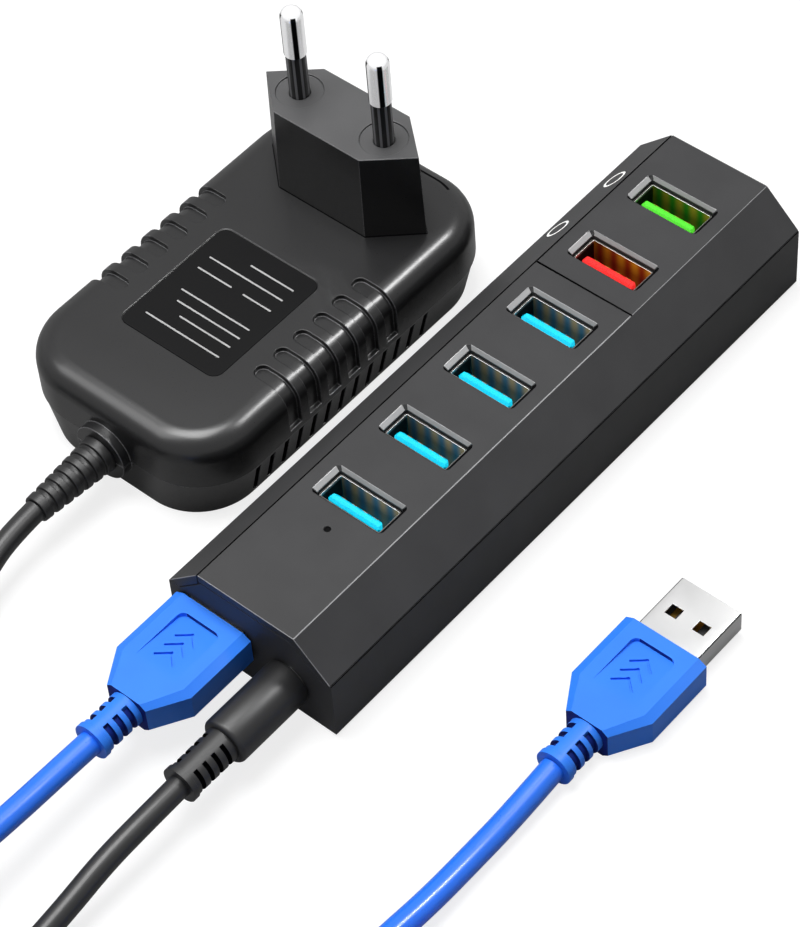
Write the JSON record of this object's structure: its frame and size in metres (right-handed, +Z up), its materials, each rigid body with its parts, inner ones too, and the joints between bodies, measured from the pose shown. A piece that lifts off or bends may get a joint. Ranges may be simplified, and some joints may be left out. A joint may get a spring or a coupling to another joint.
{
  "type": "usb hub",
  "caption": "Bar-shaped desk hub with a row of upward sockets, a detachable data cable and a plug-in mains adapter on its own lead.",
  "frame": {"origin": "centre of the hub's footprint, on the table under its feet", "axes": "+X along the hub away from its cables, +Y towards the trim rail and the adapter, +Z up out of the ports"},
  "size_m": [0.2048, 0.211, 0.056],
  "materials": {
    "case_plastic": "fine satin charcoal",
    "blue_tongue": "bright cyan moulding",
    "red_tongue": "bright red moulding",
    "green_tongue": "bright green moulding",
    "plated_steel": "nickel-plated sheet",
    "contact_gold": "gold-plated",
    "board_green": "solder mask",
    "component_black": "moulded package",
    "can_metal": "plain can",
    "clear_plastic": "clear light guide",
    "blue_grip": "satin blue moulding",
    "blue_cord": "smooth flexible jacket",
    "black_grip": "satin black moulding",
    "black_cord": "smooth flexible jacket",
    "adapter_plastic": "satin black",
    "bright_plate": "polished nickel",
    "black_insulator": "moulded insulator",
    "foot_rubber": "dull"
  },
  "bodies": {
    "hub": {"charging_port_cover": "case_plastic", "clock_crystal": "can_metal", "controller_chips": "component_black", "data_port_cover": "case_plastic", "dc_jack_housing": "black_insulator", "dc_jack_pin": "bright_plate", "dc_jack_spring": "plated_steel", "filter_capacitors": "can_metal", "left_trim_rail": "case_plastic", "light_pipe": "clear_plastic", "lower_shell": "case_plastic", "main_board": "board_green", "port_contacts": "contact_gold", "port_shell_1": "plated_steel", "port_shell_2": "plated_steel", "port_shell_3": "plated_steel", "port_shell_4": "plated_steel", "port_shell_5": "plated_steel", "port_shell_6": "plated_steel", "port_tongue_1": "blue_tongue", "port_tongue_2": "blue_tongue", "port_tongue_3": "blue_tongue", "port_tongue_4": "blue_tongue", "port_tongue_5": "red_tongue", "port_tongue_6": "green_tongue", "power_inductor": "component_black", "rubber_feet": "foot_rubber", "shell_screws": "plated_steel", "status_led": "clear_plastic", "upstream_contacts": "contact_gold", "upstream_shell": "plated_steel", "upstream_tongue": "blue_tongue"},
    "data_cable": {"data_cord_coil": "blue_cord", "data_cord_host_run": "blue_cord", "data_cord_hub_run": "blue_cord", "host_plug_boot": "blue_grip", "host_plug_contacts": "contact_gold", "host_plug_grip": "blue_grip", "host_plug_insulator": "blue_grip", "host_plug_shell": "plated_steel", "hub_plug_boot": "blue_grip", "hub_plug_contacts": "contact_gold", "hub_plug_grip": "blue_grip", "hub_plug_insulator": "blue_grip", "hub_plug_shell": "plated_steel"},
    "power_lead": {"adapter_board": "board_green", "adapter_capacitors": "can_metal", "adapter_lower_casing": "adapter_plastic", "adapter_strain_relief": "black_grip", "adapter_transformer": "component_black", "adapter_upper_casing": "adapter_plastic", "dc_plug_barrel": "bright_plate", "dc_plug_boot": "black_grip", "dc_plug_grip": "black_grip", "dc_plug_insulator": "black_insulator", "mains_pin_sleeves": "black_insulator", "mains_pins": "bright_plate", "power_cord_adapter_run": "black_cord", "power_cord_coil": "black_cord", "power_cord_plug_run": "black_cord"}
  },
  "joints": [
    {"name": "data_plug_pull", "type": "slide", "parent": "hub", "child": "data_cable", "axis": [-1, 0, 0], "range_m": [0, 0.014]},
    {"name": "dc_plug_pull", "type": "slide", "parent": "hub", "child": "power_lead", "axis": [-1, 0, 0], "range_m": [0, 0.012]}
  ]
}
